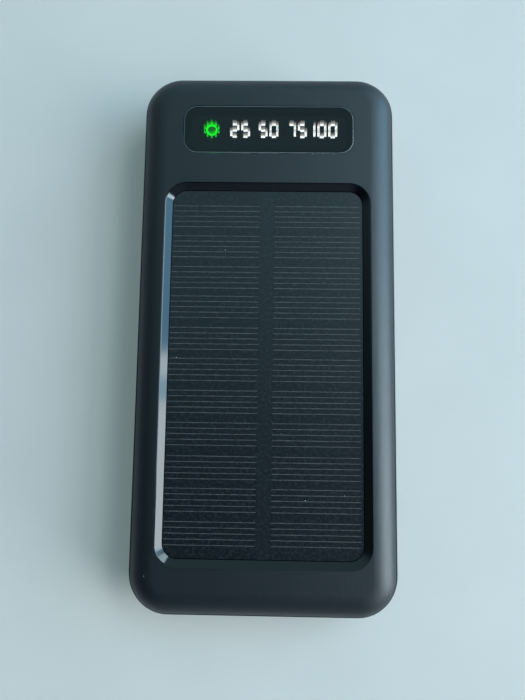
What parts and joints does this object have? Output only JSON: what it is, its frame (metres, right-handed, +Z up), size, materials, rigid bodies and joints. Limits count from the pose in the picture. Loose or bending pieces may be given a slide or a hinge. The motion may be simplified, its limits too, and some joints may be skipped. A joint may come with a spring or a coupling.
{
  "type": "solar power bank",
  "caption": "Pocket power bank with a sunk solar panel, a lit charge display, a side button and charging sockets in one end.",
  "frame": {"origin": "centre of the back face, which the charger lies on", "axes": "+Z up through the solar panel, +Y towards the display and sockets, +X to the right seen from above with the display end away"},
  "size_m": [0.0716, 0.1496, 0.018],
  "materials": {
    "black_abs": "satin moulded ABS with a fine diagonal texture on its face, gloss on the bay's slope",
    "smoked_acrylic": "polished smoked acrylic",
    "panel_laminate": "clear PET laminate with a fine matt texture",
    "silicon": "blue-black silicon with thin silver fingers",
    "black_strip": "matt black insulating strip",
    "board_black": "black laminate board",
    "board_green": "green solder mask",
    "adhesive": "black double-sided adhesive sheet",
    "tape_white": "white double-sided tape",
    "foam": "closed-cell foam",
    "tin": "tinned copper",
    "nickel": "nickel strip",
    "steel_shell": "drawn nickel-plated steel",
    "contact_gold": "gold-flashed copper alloy",
    "insulator_white": "white nylon",
    "insulator_black": "black nylon",
    "diffuser_white": "milky resin, lit white",
    "diffuser_green": "milky resin, lit green",
    "led_white": "phosphor in a white package",
    "led_green": "green lamp chip",
    "display_housing": "black moulded housing",
    "ferrite": "pressed ferrite",
    "can_aluminium": "drawn aluminium can",
    "chip_epoxy": "moulded epoxy",
    "chip_ceramic": "fired ceramic with tinned ends",
    "screw_steel": "zinc-plated steel",
    "pouch_foil": "aluminium laminate pouch",
    "wire_red": "red PVC insulation",
    "wire_black": "black PVC insulation"
  },
  "bodies": {
    "case": {"back_shell": "black_abs", "battery_cell_lower": "pouch_foil", "battery_cell_upper": "pouch_foil", "battery_lead_black": "wire_black", "battery_lead_red": "wire_red", "battery_tape": "tape_white", "board_screws": "screw_steel", "capacitors": "can_aluminium", "cell_tabs": "nickel", "centre_strip": "black_strip", "chip_parts": "chip_ceramic", "control_chips": "chip_epoxy", "digit_diffusers": "diffuser_white", "display_block": "display_housing", "display_window": "smoked_acrylic", "foam_pads": "foam", "front_shell": "black_abs", "green_led": "led_green", "inductor": "ferrite", "main_board": "board_green", "micro_usb_contacts": "contact_gold", "micro_usb_insulator": "insulator_black", "micro_usb_shell": "steel_shell", "panel_board": "board_black", "panel_cover": "panel_laminate", "panel_tape": "adhesive", "panel_terminals": "tin", "protection_board": "board_green", "solar_cells_left": "silicon", "solar_cells_right": "silicon", "solar_lead_black": "wire_black", "solar_lead_red": "wire_red", "sun_diffuser": "diffuser_green", "switch_body": "insulator_black", "usb_a_left_contacts": "contact_gold", "usb_a_left_insulator": "insulator_white", "usb_a_left_shell": "steel_shell", "usb_a_right_contacts": "contact_gold", "usb_a_right_insulator": "insulator_white", "usb_a_right_shell": "steel_shell", "usb_c_contacts": "contact_gold", "usb_c_insulator": "insulator_black", "usb_c_shell": "steel_shell", "white_leds": "led_white", "window_tape": "adhesive"},
    "button": {"power_button": "black_abs", "switch_plunger": "insulator_white"}
  },
  "joints": [
    {"name": "button_press", "type": "slide", "parent": "case", "child": "button", "axis": [-1, 0, 0], "range_m": [0, 0.0003], "stiffness_N_per_m": 3000, "springref_m": -0.0002}
  ]
}
